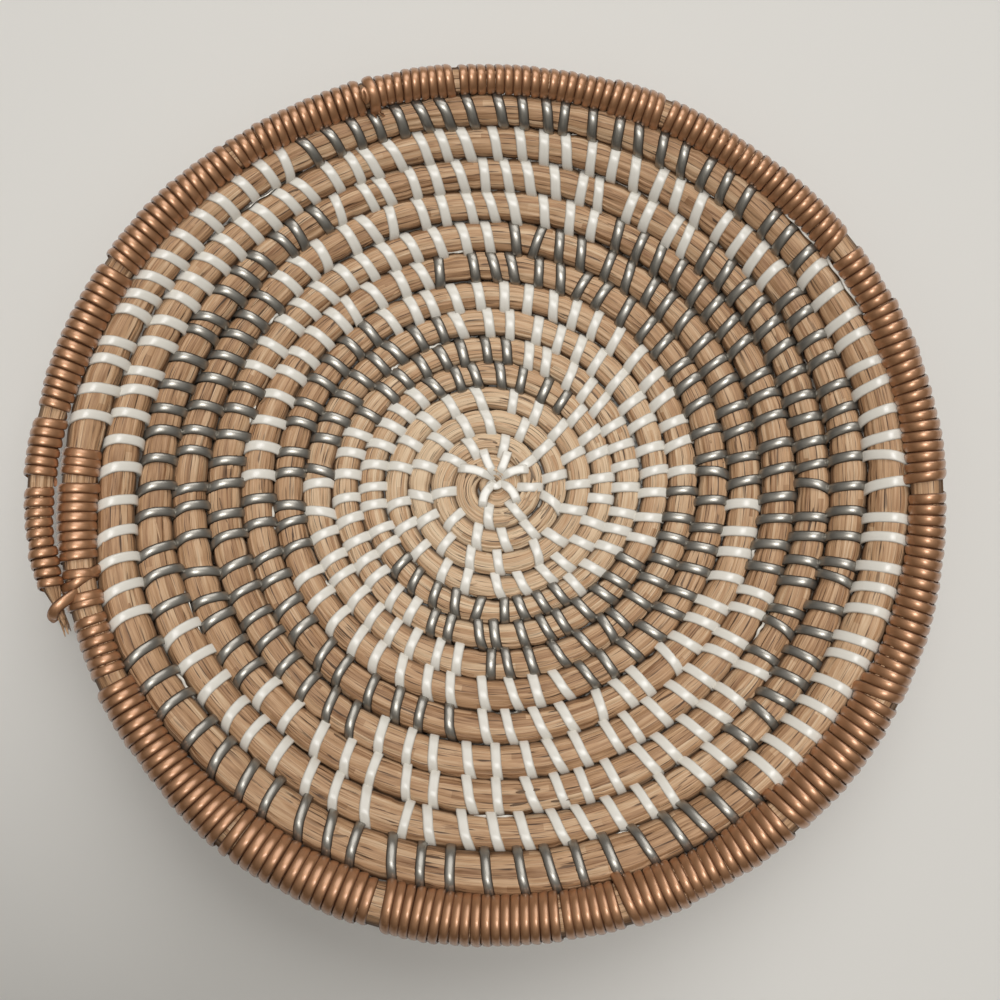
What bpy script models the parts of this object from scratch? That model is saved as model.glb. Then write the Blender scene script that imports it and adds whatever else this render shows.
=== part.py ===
"""A shallow round basket, coiled from one bundle of sweetgrass.

One bundle of grass winds outward from the middle as a single spiral. Each turn is sewn with
strips of flat plastic cord, white and grey by turns, and every strip is a winding of its own
round the bundle. The last turn, which is the rim, is wrapped all the way in copper strip, and
its free end lies outside the start of the rim.

Places along the spiral are given in turns. A whole number of turns lies at the basket's left
(-X), and the turns run counter-clockwise as seen from above.
"""
import math

import bmesh
import bpy
from mathutils import Vector
from mathutils.kdtree import KDTree

COLLECTION_NAME = "coiled_sweetgrass_basket"
CUTTER_COLLECTION_NAME = "cutters"

# Driving sizes, in metres
WALL_BUNDLE = 0.0080
BASE_BUNDLE_LIMIT = 0.0060
START_RADIUS = 0.0032
BASE_RADIUS = 0.0400
WALL_CURVE_RADIUS = 0.1600
STRIP_WIDTH = 0.0028
STRIP_THICKNESS = 0.0005
WRAP_THICKNESS = 0.0005
WRAP_GROOVE = 0.0003
WRAP_JOINT = 0.0026
CLEARANCE = 0.0003
ROW_SPARE = 0.0004
FOOT_CUT = 0.00025
CUT_OVERRUN = 0.0040
MERGE_DISTANCE = 0.00001

# The last turn is laid against the row inside it, with room for both of their strips
ROW_GAP = 2 * max(STRIP_THICKNESS, WRAP_THICKNESS) + 3 * CLEARANCE + ROW_SPARE

# Counts and places along the coil, in turns
ONE_TURN = 1.0
COIL_START = -0.8
COIL_END = 14.06
SEWING_START = 0.2
COARSE_POINTS = 16
FINE_POINTS = 24
FINE_FROM = 3.6
RUNS_PER_STITCH = 2
RIDGES_PER_POINT = 3
SIDES = 6
GAP_SAMPLES = 4
# The shortest last run of the coil, as a share of a full one
LEAST_RUN_SHARE = 0.2

# The bundle's thickness along the coil, as shares of WALL_BUNDLE: it starts thin, and tapers at its end
BUNDLE_SHARES = (
    (-0.8, 0.40), (-0.2, 0.58), (3.0, 0.61), (5.0, 0.73), (7.0, 0.85), (9.0, 0.97),
    (11.0, 0.97), (12.0, 1.11), (13.0, 1.13), (13.9, 1.06), (14.06, 0.80),
)
# How far the bundle is thicker on the basket's -Y side than on average, as shares of its thickness
SWELL_SHARES = (
    (-0.8, 0.0), (5.0, 0.0), (8.0, 0.08), (11.0, 0.08), (12.0, 0.18), (13.0, 0.27), (14.06, 0.28),
)
# How far the basket is longer along X, and shorter along Y, than a round one, as a share of its radius
OVAL_SHARE = 0.012

# Where one sewing strip ends and the next begins, in turns: white and grey by turns
STRIP_ENDS = (
    3.64, 3.86, 4.11, 4.36, 4.73, 4.94, 5.18, 5.44, 5.80, 6.00, 6.24, 6.51, 6.86, 7.07, 7.32,
    7.80, 8.01, 8.24, 8.50, 8.75, 8.94, 9.18, 9.45, 9.69, 9.89, 10.12, 10.41, 10.64, 10.84,
    11.07, 11.37, 11.60, 12.07, 12.37, 12.60, 12.84, 12.975,
)
# Where one rim wrap ends and the next begins, in turns
WRAP_ENDS = (
    12.985, 13.03, 13.075, 13.15, 13.21, 13.30, 13.37, 13.42, 13.50, 13.60, 13.68, 13.77, 13.80,
    13.86, 13.92, 13.975, 14.035,
)

# How far the strip has moved along to its next stitch at each corner of the bundle, from the
# inner side over the top to the outer side and back underneath. A stitch crosses the top near
# the middle of one straight run of the coil, and quarters of a step take it along below
CORNER_ANGLES = (150.0, 90.0, 30.0, -30.0, -90.0, -150.0)
ADVANCE_SHARES = (0.0, 0.03, 0.07, 0.25, 0.50, 0.75)

CORNER_COS = math.cos(math.pi / SIDES)


def clear_scene():
    """Removes whatever the file held."""
    for item in list(bpy.data.objects):
        bpy.data.objects.remove(item, do_unlink=True)


def new_collection(name):
    """A collection of that name, linked into the scene."""
    group = bpy.data.collections.new(name)
    bpy.context.scene.collection.children.link(group)
    return group


def plain_material(name, colour, roughness, metallic):
    """A Principled surface of one colour."""
    material = bpy.data.materials.new(name)
    material.use_nodes = True
    shader = material.node_tree.nodes["Principled BSDF"]
    shader.inputs["Base Color"].default_value = (*colour, 1.0)
    shader.inputs["Roughness"].default_value = roughness
    shader.inputs["Metallic"].default_value = metallic
    material.diffuse_color = (*colour, 1.0)
    return material


def read_shares(table, turn):
    """The share at a place along the coil, on straight lines between the table's entries."""
    if turn <= table[0][0]:
        return table[0][1]
    for (turn_a, share_a), (turn_b, share_b) in zip(table, table[1:]):
        if turn <= turn_b:
            return share_a + (share_b - share_a) * (turn - turn_a) / (turn_b - turn_a)
    return table[-1][1]


def coil_angle(turn):
    """The angle about +Z at a place along the coil."""
    return math.pi + math.tau * turn


def bundle_thickness(turn):
    """The bundle's thickness between its flat sides."""
    swell = 1.0 - read_shares(SWELL_SHARES, turn) * math.sin(coil_angle(turn))
    return WALL_BUNDLE * read_shares(BUNDLE_SHARES, turn) * swell


def section_distance(turn):
    """The distance from the middle, measured along the basket's section: each row lies one
    row gap outside the row before it."""
    if turn < COIL_START + ONE_TURN:
        both = bundle_thickness(COIL_START) + bundle_thickness(COIL_START + ONE_TURN)
        return START_RADIUS + (turn - COIL_START) * (0.5 * both + ROW_GAP)
    both = bundle_thickness(turn - ONE_TURN) + bundle_thickness(turn)
    return section_distance(turn - ONE_TURN) + 0.5 * both + ROW_GAP


def wall_slope(turn):
    """The section's slope: flat across the base, then steeper along an arc."""
    return max(0.0, section_distance(turn) - BASE_RADIUS) / WALL_CURVE_RADIUS


def smooth_centre(turn):
    """A point on the middle line of the bundle, as a true spiral."""
    distance = section_distance(turn)
    slope = wall_slope(turn)
    angle = coil_angle(turn)
    radius = min(distance, BASE_RADIUS) + WALL_CURVE_RADIUS * math.sin(slope)
    radius *= 1.0 + OVAL_SHARE * math.cos(2.0 * angle)
    height = WALL_CURVE_RADIUS * (1.0 - math.cos(slope))
    under = 0.5 * min(bundle_thickness(turn), BASE_BUNDLE_LIMIT) + CLEARANCE + STRIP_THICKNESS
    height += under / CORNER_COS - FOOT_CUT
    return Vector((radius * math.cos(angle), radius * math.sin(angle), height))


def coil_turns():
    """The places of the coil's points: fewer to a turn near the middle."""
    turns = [COIL_START]
    step = 1.0 / COARSE_POINTS
    turn = math.ceil(COIL_START / step + 0.5) * step
    while turn < COIL_END - LEAST_RUN_SHARE / FINE_POINTS:
        turns.append(turn)
        step = 1.0 / (FINE_POINTS if turn > FINE_FROM - 0.5 * step else COARSE_POINTS)
        turn += step
    turns.append(COIL_END)
    return turns


COIL_TURNS = coil_turns()
COIL_POINTS = [smooth_centre(turn) for turn in COIL_TURNS]


def centre_at(turn):
    """A point on the straight run between the coil's two nearest points."""
    for index in range(len(COIL_TURNS) - 1):
        if turn <= COIL_TURNS[index + 1] or index == len(COIL_TURNS) - 2:
            start, end = COIL_TURNS[index], COIL_TURNS[index + 1]
            return COIL_POINTS[index].lerp(COIL_POINTS[index + 1], (turn - start) / (end - start))


def section_frame(turn):
    """Unit vectors outward and upward across the bundle, and along its run."""
    step = 1.0 / FINE_POINTS
    before = smooth_centre(max(turn - step, COIL_START))
    run = (smooth_centre(min(turn + step, COIL_END)) - before).normalized()
    angle = coil_angle(turn)
    slope = wall_slope(turn)
    outward = Vector((
        math.cos(slope) * math.cos(angle),
        math.cos(slope) * math.sin(angle),
        math.sin(slope),
    ))
    outward = (outward - run * outward.dot(run)).normalized()
    return outward, outward.cross(run), run


def mesh_from_curve(curve_object, name, group):
    """A welded mesh object with the curve's evaluated shape."""
    graph = bpy.context.evaluated_depsgraph_get()
    mesh = bpy.data.meshes.new_from_object(curve_object.evaluated_get(graph))
    shape = bmesh.new()
    shape.from_mesh(mesh)
    bmesh.ops.remove_doubles(shape, verts=shape.verts, dist=MERGE_DISTANCE)
    bmesh.ops.recalc_face_normals(shape, faces=shape.faces)
    shape.to_mesh(mesh)
    shape.free()
    bpy.data.objects.remove(curve_object, do_unlink=True)
    result = bpy.data.objects.new(name, mesh)
    group.objects.link(result)
    return result


def tube_along(name, turns, half_widths, group):
    """A six-sided tube along the coil, with its own half width at each place and two flat
    sides that face the rows beside it."""
    curve = bpy.data.curves.new(name, "CURVE")
    curve.dimensions = "3D"
    curve.twist_mode = "Z_UP"
    curve.bevel_depth = WALL_BUNDLE
    curve.bevel_resolution = 1
    curve.use_fill_caps = True
    spline = curve.splines.new("POLY")
    spline.points.add(len(turns) - 1)
    for point, turn, half_width in zip(spline.points, turns, half_widths):
        point.co = (*centre_at(turn), 1.0)
        point.radius = half_width / CORNER_COS / WALL_BUNDLE
        point.tilt = math.pi / SIDES - wall_slope(turn)
    tube = bpy.data.objects.new(name + "_curve", curve)
    group.objects.link(tube)
    return mesh_from_curve(tube, name, group)


def make_coil(group, material):
    """The grass bundle, one unbroken tube from the middle to its free end."""
    half_widths = [0.5 * bundle_thickness(turn) for turn in COIL_TURNS]
    coil = tube_along("grass_coil", COIL_TURNS, half_widths, group)
    coil.data.materials.append(material)
    return coil


def turn_at(place):
    """The turn at a place counted in the coil's points, between two points by even shares."""
    index = min(int(place), len(COIL_TURNS) - 2)
    start, end = COIL_TURNS[index], COIL_TURNS[index + 1]
    return start + (end - start) * (place - index)


def corner_point(turn, corner):
    """The place of a strip at one corner of the bundle, the way outward there, and half the
    strip's width along the corner, so that the strip lies flat on both faces beside it."""
    outward, upward, run = section_frame(turn)
    angle = math.radians(CORNER_ANGLES[corner])
    away = outward * math.cos(angle) + upward * math.sin(angle)
    reach = (0.5 * bundle_thickness(turn) + CLEARANCE) / CORNER_COS
    return centre_at(turn) + away * reach, away, run * (0.5 * STRIP_WIDTH)


def strip_path(first_turn, last_turn):
    """Corner by corner, the route of one strip round the bundle from stitch to stitch."""
    runs = [i for i in range(len(COIL_TURNS) - 1) if first_turn <= turn_at(i + 0.5) < last_turn]
    stitches = runs[::RUNS_PER_STITCH]
    places = []
    for stitch in stitches:
        corners = range(4) if stitch == stitches[-1] else range(SIDES)
        for corner in corners:
            place = stitch + 0.5 + RUNS_PER_STITCH * ADVANCE_SHARES[corner]
            places.append(corner_point(turn_at(place), corner))
    return places


def make_strip(name, first_turn, last_turn, group, material):
    """One sewing strip: an unbroken ribbon with a raised middle, wound round the bundle."""
    sections = []
    for point, away, side in strip_path(first_turn, last_turn):
        crest = point + away * (STRIP_THICKNESS / CORNER_COS)
        sections.append((point - side, crest, point + side))
    shape = bmesh.new()
    rings = [[shape.verts.new(point) for point in section] for section in sections]
    for ring, following in zip(rings, rings[1:]):
        for edge in range(3):
            after = (edge + 1) % 3
            shape.faces.new((ring[edge], ring[after], following[after], following[edge]))
    shape.faces.new(rings[0])
    shape.faces.new(rings[-1])
    bmesh.ops.recalc_face_normals(shape, faces=shape.faces)
    flatten_foot(shape)
    bmesh.ops.triangulate(shape, faces=shape.faces)
    mesh = bpy.data.meshes.new(name)
    shape.to_mesh(mesh)
    shape.free()
    mesh.materials.append(material)
    strip = bpy.data.objects.new(name, mesh)
    group.objects.link(strip)
    return strip, least_gap(sections, SIDES // 2)


def flatten_foot(shape):
    """Cuts off what would reach below the level that the basket stands on."""
    if min(vert.co.z for vert in shape.verts) > 0.0:
        return
    parts = list(shape.verts) + list(shape.edges) + list(shape.faces)
    cut = bmesh.ops.bisect_plane(
        shape, geom=parts, plane_co=(0.0, 0.0, 0.0), plane_no=(0.0, 0.0, -1.0), clear_outer=True
    )
    rim = [item for item in cut["geom_cut"] if isinstance(item, bmesh.types.BMEdge)]
    bmesh.ops.edgenet_fill(shape, edges=rim)
    bmesh.ops.recalc_face_normals(shape, faces=shape.faces)


def turns_between(first_turn, last_turn, more=()):
    """Both ends, the coil's own points between them, and the more that lie between them."""
    inner = {turn for turn in (*COIL_TURNS, *more) if first_turn < turn < last_turn}
    return [first_turn, *sorted(inner), last_turn]


def make_wrap(name, first_turn, last_turn, group, cutters, material):
    """One length of the rim's close wrapping: a ridged sleeve with a bore for the bundle."""
    middle = smooth_centre(0.5 * (first_turn + last_turn))
    turn_length = math.tau * math.hypot(middle.x, middle.y)
    start = first_turn + 0.5 * WRAP_JOINT / turn_length
    end = last_turn - 0.5 * WRAP_JOINT / turn_length

    ridges = max(1, round((end - start) * FINE_POINTS * RIDGES_PER_POINT))
    steps = [start + (end - start) * step / (2 * ridges) for step in range(1, 2 * ridges)]
    grooves = set(steps[1::2])
    turns = turns_between(start, end, steps)
    half_widths = []
    for turn in turns:
        depth = WRAP_GROOVE if turn in grooves else 0.0
        half_widths.append(0.5 * bundle_thickness(turn) + CLEARANCE + WRAP_THICKNESS - depth)
    sleeve = tube_along(name, turns, half_widths, group)

    overrun = CUT_OVERRUN / turn_length
    bore_turns = turns_between(start - overrun, end + overrun)
    bore_widths = [0.5 * bundle_thickness(turn) + CLEARANCE for turn in bore_turns]
    bore = tube_along(name + "_bore", bore_turns, bore_widths, cutters)
    bore.hide_render = True
    bore.display_type = "WIRE"
    cut = sleeve.modifiers.new("bore", "BOOLEAN")
    cut.operation = "DIFFERENCE"
    cut.object = bore
    sleeve.data.materials.append(material)
    return sleeve, bore


def least_gap(rings, skip):
    """The least gap between the surface points of rings that lie more than skip rings apart
    along one winding, each run between two rings being measured at shares of its length."""
    filled = []
    for ring, following in zip(rings, rings[1:]):
        for step in range(GAP_SAMPLES):
            share = step / GAP_SAMPLES
            filled.append([here.lerp(there, share) for here, there in zip(ring, following)])
    tree = KDTree(sum(len(ring) for ring in filled))
    owners = [index for index, ring in enumerate(filled) for point in ring]
    points = [point for ring in filled for point in ring]
    for number, point in enumerate(points):
        tree.insert(point, number)
    tree.balance()
    gap = math.inf
    for number, point in enumerate(points):
        for found, other, distance in tree.find_range(point, WALL_BUNDLE):
            if abs(owners[other] - owners[number]) > skip * GAP_SAMPLES:
                gap = min(gap, distance)
    return gap


def coil_rings():
    """The corners of the coil's section at each of its points."""
    rings = []
    for turn, centre in zip(COIL_TURNS, COIL_POINTS):
        outward, upward, run = section_frame(turn)
        reach = 0.5 * bundle_thickness(turn) / CORNER_COS
        angles = [math.radians(angle) for angle in CORNER_ANGLES]
        rings.append([centre + (outward * math.cos(a) + upward * math.sin(a)) * reach for a in angles])
    return rings


def main():
    clear_scene()
    group = new_collection(COLLECTION_NAME)
    cutters = new_collection(CUTTER_COLLECTION_NAME)
    grass = plain_material("dried_sweetgrass", (0.48, 0.28, 0.12), 0.7, 0.0)
    white = plain_material("white_plastic_strip", (0.78, 0.76, 0.68), 0.35, 0.0)
    grey = plain_material("grey_metallic_strip", (0.12, 0.12, 0.11), 0.3, 0.8)
    copper = plain_material("copper_metallic_strip", (0.45, 0.19, 0.10), 0.3, 0.8)

    parts = [make_coil(group, grass)]
    print("grass_coil: least gap to itself", round(least_gap(coil_rings(), COARSE_POINTS // 2), 5), "m")

    first_turn = SEWING_START
    gaps = []
    for index, last_turn in enumerate(STRIP_ENDS):
        colour, material = (("white", white), ("grey", grey))[index % 2]
        name = f"{colour}_strip_{index // 2 + 1:02d}"
        strip, gap = make_strip(name, first_turn, last_turn, group, material)
        parts.append(strip)
        gaps.append(gap)
        first_turn = last_turn
    print("sewing strips: least gap of any to itself", round(min(gaps), 5), "m")

    bores = []
    for index, (start, end) in enumerate(zip(WRAP_ENDS, WRAP_ENDS[1:])):
        wrap, bore = make_wrap(f"copper_wrap_{index + 1:02d}", start, end, group, cutters, copper)
        parts.append(wrap)
        bores.append(bore)

    bpy.context.view_layer.update()
    corners = [Vector(corner) for part in parts for corner in part.bound_box]
    middle_x = 0.5 * (min(c.x for c in corners) + max(c.x for c in corners))
    middle_y = 0.5 * (min(c.y for c in corners) + max(c.y for c in corners))
    stand = bpy.data.objects.new("basket_origin", None)
    group.objects.link(stand)
    stand.location = (-middle_x, -middle_y, 0.0)
    for item in parts + bores:
        item.parent = stand
    print("middle of the box", round(middle_x, 5), round(middle_y, 5))


main()
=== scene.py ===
"""The looks of a shallow coiled basket: grass rows sewn with plastic strip, and a copper rim.

Places along the coil are given in turns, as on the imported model: whole turns lie at the
basket's left (-X) and run counter-clockwise seen from above. Places round the bundle's section
are angles from its outer side, over the top at a quarter turn, to its inner side at a half.
"""
import math

import bpy
import numpy as np
from bpy.props import FloatProperty, FloatVectorProperty, IntProperty, PointerProperty
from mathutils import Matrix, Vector


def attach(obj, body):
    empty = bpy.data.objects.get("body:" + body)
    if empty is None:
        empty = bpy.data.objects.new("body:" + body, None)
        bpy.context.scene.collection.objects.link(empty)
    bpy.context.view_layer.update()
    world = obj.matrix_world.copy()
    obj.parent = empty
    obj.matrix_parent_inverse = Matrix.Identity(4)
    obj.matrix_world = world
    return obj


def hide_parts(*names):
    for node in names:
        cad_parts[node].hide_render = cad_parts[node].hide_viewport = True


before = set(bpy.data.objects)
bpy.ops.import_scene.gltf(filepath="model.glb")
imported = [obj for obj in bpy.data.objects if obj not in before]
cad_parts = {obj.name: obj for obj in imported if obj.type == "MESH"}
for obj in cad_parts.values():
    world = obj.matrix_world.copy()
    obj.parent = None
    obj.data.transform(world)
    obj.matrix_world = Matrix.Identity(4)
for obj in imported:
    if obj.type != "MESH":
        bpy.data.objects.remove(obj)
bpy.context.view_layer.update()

bl_info = {
    "name": "Coiled basket",
    "version": (1, 0, 0),
    "blender": (4, 5, 0),
    "location": "View3D > Sidebar > Basket",
    "description": "Dresses a coiled grass basket with sewn strips and a wrapped rim",
    "category": "Add Mesh",
}

MM = 0.001

# The coil's route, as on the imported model
WALL_BUNDLE = 8.0 * MM
BASE_BUNDLE_LIMIT = 6.0 * MM
START_RADIUS = 3.2 * MM
BASE_RADIUS = 40.0 * MM
WALL_CURVE_RADIUS = 160.0 * MM
CAD_STRIP = 0.5 * MM
CAD_CLEARANCE = 0.3 * MM
ROW_GAP = 2.3 * MM
FOOT_CUT = 0.25 * MM
OVAL_SHARE = 0.012
COIL_START = -0.8
COIL_END = 14.06
SEWING_START = 0.2
BUNDLE_SHARES = (
    (-0.8, 0.40), (-0.2, 0.58), (3.0, 0.61), (5.0, 0.73), (7.0, 0.85), (9.0, 0.97),
    (11.0, 0.97), (12.0, 1.11), (13.0, 1.13), (13.9, 1.06), (14.06, 0.80),
)
SWELL_SHARES = (
    (-0.8, 0.0), (5.0, 0.0), (8.0, 0.08), (11.0, 0.08), (12.0, 0.18), (13.0, 0.27), (14.06, 0.28),
)
STRIP_ENDS = (
    3.64, 3.86, 4.11, 4.36, 4.73, 4.94, 5.18, 5.44, 5.80, 6.00, 6.24, 6.51, 6.86, 7.07, 7.32,
    7.80, 8.01, 8.24, 8.50, 8.75, 8.94, 9.18, 9.45, 9.69, 9.89, 10.12, 10.41, 10.64, 10.84,
    11.07, 11.37, 11.60, 12.07, 12.37, 12.60, 12.84, 12.975,
)
WRAP_ENDS = (
    12.985, 13.03, 13.075, 13.15, 13.21, 13.30, 13.37, 13.42, 13.50, 13.60, 13.68, 13.77, 13.80,
    13.86, 13.92, 13.975, 14.035,
)
RIM_START = WRAP_ENDS[0]
SPIRAL_MIDDLE = Vector((1.71 * MM, 4.91 * MM, 0.0))

# The coil is tabulated this finely, in places to a turn
PLACES_PER_TURN = 720

# How much more of a row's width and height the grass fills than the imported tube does
GRASS_SIDE_EXTRA = 1.15 * MM
GRASS_TOP_EXTRA = 0.35 * MM
EYE_SIDE_EXTRA = 0.20 * MM
SECTION_SQUARENESS = 2.35

# In the rim the copper takes some of the row's width, and the bundle is packed rounder
RIM_SIDE_DRAW = 0.60 * MM
RIM_TOP_GAIN = 0.20 * MM

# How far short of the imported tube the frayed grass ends. The free end gets thinner and leans in
GRASS_END_SHORT = 10.0 * MM
END_SHARES = ((13.96, 1.0), (13.975, 0.88), (14.005, 0.82), (14.028, 0.60), (14.05, 0.50))
END_SHIFT = ((13.97, 0.0), (13.99, 0.9 * MM), (14.015, 0.6 * MM), (14.05, -2.6 * MM))

# How far outward the line between two rows moves, by the turn of the row outside it
LINE_SHIFT = (
    (11.99, 0.0), (12.035, 1.8 * MM), (12.08, 1.8 * MM), (12.13, 0.0),
    (12.98, 0.0), (13.02, 1.0 * MM), (13.045, 2.6 * MM), (13.075, 2.8 * MM), (13.11, 0.8 * MM),
    (13.16, 0.0), (13.42, 0.0), (13.47, 1.1 * MM), (13.55, 1.1 * MM), (13.62, 0.0),
)

# The rows' small wanderings to the side, and how far they are fuller and thinner, as a share
ROW_WANDER = 0.32 * MM
ROW_FULLNESS = 0.05

# The camera, over the base: where the spiral's middle lies in the photograph's 1000 pixels
CAMERA_HEIGHT = 0.440
CAMERA_FIELD = math.radians(38.8)
PHOTO_PIXELS = 1000
SPIRAL_MIDDLE_PX = (493.4, 486.9)


def rows_of(table):
    """The places and the shares of a table of pairs."""
    return [pair[0] for pair in table], [pair[1] for pair in table]


class Coil:
    """The bundle's middle line and section frames, tabulated along the turns."""

    def __init__(self):
        count = round((COIL_END - COIL_START) * PLACES_PER_TURN)
        self.turns = COIL_START + np.arange(count + 1) / PLACES_PER_TURN
        angle = math.pi + math.tau * self.turns
        self.thickness = self.bundle_thickness(self.turns)
        distance = self.section_distances()
        slope = np.maximum(0.0, distance - BASE_RADIUS) / WALL_CURVE_RADIUS
        radius = np.minimum(distance, BASE_RADIUS) + WALL_CURVE_RADIUS * np.sin(slope)
        radius = radius * (1.0 + OVAL_SHARE * np.cos(2.0 * angle))
        under = 0.5 * np.minimum(self.thickness, BASE_BUNDLE_LIMIT) + CAD_CLEARANCE + CAD_STRIP
        height = WALL_CURVE_RADIUS * (1.0 - np.cos(slope))
        height = height + under / math.cos(math.pi / 6) - FOOT_CUT
        spiral = np.stack((radius * np.cos(angle), radius * np.sin(angle), height), axis=1)
        self.points = spiral + np.array(SPIRAL_MIDDLE)
        run = unit(np.gradient(self.points, axis=0))
        outward = np.stack(
            (np.cos(slope) * np.cos(angle), np.cos(slope) * np.sin(angle), np.sin(slope)), axis=1
        )
        outward = unit(outward - run * np.sum(outward * run, axis=1, keepdims=True))
        self.run, self.outward = run, outward
        self.upward = np.cross(outward, run)
        shift = np.interp(self.turns, *rows_of(END_SHIFT))
        for turns in (self.turns, self.turns + 1.0):
            shift = shift + 0.5 * np.interp(turns, *rows_of(LINE_SHIFT))
        self.points = self.points + outward * shift[:, None]
        steps = np.linalg.norm(np.diff(self.points, axis=0), axis=1)
        self.lengths = np.concatenate(([0.0], np.cumsum(steps)))
        random = np.random.default_rng(5)
        self.fullness = 1.0 + wander(random, self.lengths, 21.0 * MM, ROW_FULLNESS)
        self.points = self.points + outward * wander(random, self.lengths, 27.0 * MM, ROW_WANDER)[:, None]

    @staticmethod
    def bundle_thickness(turns):
        """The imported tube's thickness between its flat sides."""
        share = np.interp(turns, *rows_of(BUNDLE_SHARES))
        swell = np.interp(turns, *rows_of(SWELL_SHARES))
        return WALL_BUNDLE * share * (1.0 - swell * np.sin(math.pi + math.tau * turns))

    def section_distances(self):
        """Each place's distance from the middle, measured along the basket's section."""
        distance = np.zeros_like(self.turns)
        first = self.thickness[0] + self.thickness[PLACES_PER_TURN]
        for index, turn in enumerate(self.turns):
            if index < PLACES_PER_TURN:
                distance[index] = START_RADIUS + (turn - COIL_START) * (0.5 * first + ROW_GAP)
            else:
                before = index - PLACES_PER_TURN
                both = self.thickness[before] + self.thickness[index]
                distance[index] = distance[before] + 0.5 * both + ROW_GAP
        return distance

    def read(self, table, turns):
        """A tabulated quantity at any turns."""
        if table.ndim == 1:
            return np.interp(turns, self.turns, table)
        return np.stack([np.interp(turns, self.turns, column) for column in table.T], axis=-1)

    def length_at(self, turns):
        return np.interp(turns, self.turns, self.lengths)

    def turn_at(self, lengths):
        return np.interp(lengths, self.lengths, self.turns)

    def half_axes(self, turns):
        """Half the grass section's width and height, less where the rim is wrapped."""
        half = 0.5 * np.interp(turns, self.turns, self.thickness)
        in_rim = np.clip((turns - RIM_START + 0.01) / 0.01, 0.0, 1.0)
        side = half + GRASS_SIDE_EXTRA - in_rim * RIM_SIDE_DRAW
        side = side + EYE_SIDE_EXTRA * np.clip(2.0 - turns, 0.0, 1.0)
        side = side + 0.5 * np.interp(turns + 1.0, *rows_of(LINE_SHIFT))
        side = side - 0.5 * np.interp(turns, *rows_of(LINE_SHIFT))
        thinner = np.interp(turns, *rows_of(END_SHARES)) * np.interp(turns, self.turns, self.fullness)
        return side * thinner, (half + GRASS_TOP_EXTRA + in_rim * RIM_TOP_GAIN) * thinner

    def place(self, turns, across, above):
        """Points at the given distances outward and upward of the bundle's middle line."""
        return (
            self.read(self.points, turns)
            + self.read(self.outward, turns) * across[..., None]
            + self.read(self.upward, turns) * above[..., None]
        )


def unit(vectors):
    """The vectors at length one."""
    return vectors / np.maximum(np.linalg.norm(vectors, axis=-1, keepdims=True), 1e-12)


def section_point(angle, side, top, inner_extra=0.0):
    """A point on the bundle's rounded-off section, and the way out of it there."""
    cosine, sine = np.cos(angle), np.sin(angle)
    reach = np.where(cosine < 0.0, side + inner_extra, side)
    power = 2.0 / SECTION_SQUARENESS
    across = reach * np.sign(cosine) * np.abs(cosine) ** power
    above = top * np.sign(sine) * np.abs(sine) ** power
    slant = SECTION_SQUARENESS - 1.0
    out_across = np.sign(across) * np.abs(across / reach) ** slant / reach
    out_above = np.sign(above) * np.abs(above / top) ** slant / top
    size = np.maximum(np.hypot(out_across, out_above), 1e-9)
    return across, above, out_across / size, out_above / size


def wander(random, lengths, spacing, reach):
    """A smooth random course along the lengths, with a new value at each spacing."""
    count = int((lengths[-1] - lengths[0]) / spacing) + 3
    values = random.uniform(-1.0, 1.0, count)
    place = (lengths - lengths[0]) / spacing
    index = place.astype(int)
    share = place - index
    share = share * share * (3.0 - 2.0 * share)
    return reach * (values[index] * (1.0 - share) + values[index + 1] * share)


class MeshParts:
    """Swept surfaces gathered into one mesh, with their lengths and widths as UV."""

    def __init__(self):
        self.verts, self.quads, self.uvs, self.caps = [], [], [], []
        self.count = 0

    def add_sweep(self, rings, uvs, closed_ring=True, caps=True):
        """Adds rings of points, of shape (rings, points, 3), joined in order."""
        number, size = rings.shape[:2]
        index = self.count + np.arange(number * size).reshape(number, size)
        columns = size if closed_ring else size - 1
        here = index[:-1, :columns]
        beside = np.roll(index, -1, axis=1)[:-1, :columns]
        after = index[1:, :columns]
        after_beside = np.roll(index, -1, axis=1)[1:, :columns]
        quads = np.stack((here, beside, after_beside, after), axis=-1).reshape(-1, 4)
        self.verts.append(rings.reshape(-1, 3))
        self.quads.append(quads)
        corner = uvs.reshape(number, -1, 2)
        if corner.shape[1] == size:
            corner = np.concatenate((corner, corner[:, :1]), axis=1)
        a, b = corner[:-1, :columns], corner[:-1, 1:columns + 1]
        d, c = corner[1:, :columns], corner[1:, 1:columns + 1]
        self.uvs.append(np.stack((a, b, c, d), axis=2).reshape(-1, 2))
        if caps:
            self.caps.append((list(reversed(index[0])), corner[0, :size][::-1]))
            self.caps.append((list(index[-1]), corner[-1, :size]))
        self.count += number * size

    def build(self, name, material, crease=None):
        """One smooth object of everything added."""
        mesh = bpy.data.meshes.new(name)
        verts = np.concatenate(self.verts)
        faces = np.concatenate(self.quads).tolist() + [[int(i) for i in cap[0]] for cap in self.caps]
        mesh.from_pydata(verts.tolist(), [], faces)
        layer = mesh.uv_layers.new(name="UVMap")
        uvs = np.concatenate(self.uvs + [cap[1] for cap in self.caps])
        layer.data.foreach_set("uv", uvs.astype(np.float32).ravel())
        mesh.materials.append(material)
        if crease is None:
            mesh.shade_smooth()
        else:
            mesh.shade_smooth()
            mesh.set_sharp_from_angle(angle=crease)
        mesh.update()
        piece = bpy.data.objects.new(name, mesh)
        bpy.context.collection.objects.link(piece)
        return piece


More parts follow.
